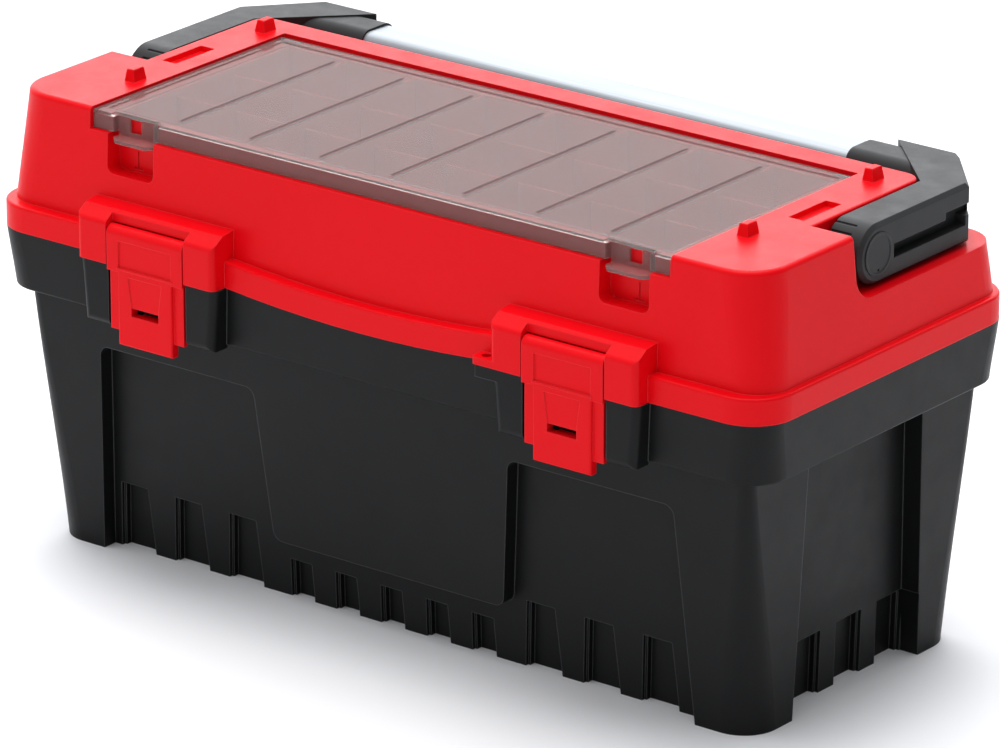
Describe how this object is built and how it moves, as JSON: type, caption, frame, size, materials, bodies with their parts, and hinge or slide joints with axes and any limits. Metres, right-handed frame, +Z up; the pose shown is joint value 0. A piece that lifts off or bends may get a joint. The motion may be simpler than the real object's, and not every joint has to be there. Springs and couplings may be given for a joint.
{
  "type": "toolbox with tray",
  "caption": "Plastic toolbox with hinged lid, front latches, lid organizer under a clear cover, fold-down tube handle and lift-out tray.",
  "frame": {"origin": "on the floor, under the middle of the base", "axes": "+X along the box, -Y towards the latches at the front, +Z up"},
  "size_m": [0.59, 0.2811, 0.3025],
  "materials": {
    "black_plastic": "satin moulded polypropylene",
    "red_plastic": "satin moulded polypropylene",
    "smoky_clear": "clear smoky polystyrene",
    "arm_plastic": "fine grained moulded nylon",
    "tray_plastic": "satin moulded polypropylene",
    "aluminium": "satin anodised extrusion",
    "steel": "plain drawn pin"
  },
  "bodies": {
    "base": {"base_tub": "black_plastic", "lid_hinge_pin_right": "steel", "lid_hinge_pin_left": "steel"},
    "lid": {"lid_shell": "red_plastic", "organizer_bins": "red_plastic", "organizer_walls": "red_plastic", "organizer_dividers": "red_plastic", "cover_hinge_pin_right": "steel", "cover_hinge_pin_left": "steel", "latch_pin_right": "steel", "latch_pin_left": "steel"},
    "cover": {"clear_cover": "smoky_clear"},
    "latch_right": {"latch_right": "red_plastic"},
    "latch_left": {"latch_left": "red_plastic"},
    "handle": {"handle_tube": "aluminium", "handle_screws": "steel", "handle_arm_right": "arm_plastic", "handle_arm_left": "arm_plastic", "handle_sleeve_right": "arm_plastic", "handle_sleeve_left": "arm_plastic", "handle_pivot_cap_right": "arm_plastic", "handle_pivot_cap_left": "arm_plastic", "handle_pivot_pin_right": "steel", "handle_pivot_pin_left": "steel"},
    "tray": {"tool_tray": "tray_plastic", "tray_grip": "red_plastic", "tray_dividers": "tray_plastic"}
  },
  "joints": [
    {"name": "lid_hinge", "type": "hinge", "parent": "base", "child": "lid", "pos_m": [0, 0.1322, 0.2084], "axis": [-1, 0, 0], "range_deg": [0, 100]},
    {"name": "handle_pivot", "type": "hinge", "parent": "lid", "child": "handle", "pos_m": [0, 0.0008, 0.2754], "axis": [1, 0, 0], "range_deg": [0, 90]},
    {"name": "cover_hinge", "type": "hinge", "parent": "lid", "child": "cover", "pos_m": [0, 0.0628, 0.2911], "axis": [-1, 0, 0], "range_deg": [0, 95]},
    {"name": "latch_right_hinge", "type": "hinge", "parent": "lid", "child": "latch_right", "pos_m": [0.159, -0.1375, 0.2266], "axis": [-1, 0, 0], "range_deg": [0, 110]},
    {"name": "latch_left_hinge", "type": "hinge", "parent": "lid", "child": "latch_left", "pos_m": [-0.159, -0.1375, 0.2266], "axis": [-1, 0, 0], "range_deg": [0, 110]},
    {"name": "tray_lift", "type": "slide", "parent": "base", "child": "tray", "axis": [0, 0, 1], "range_m": [0, 0.09]}
  ],
  "couplings": [
    {"joint": "tray_lift", "follows": "lid_hinge", "m_per_rad": 0.05}
  ]
}
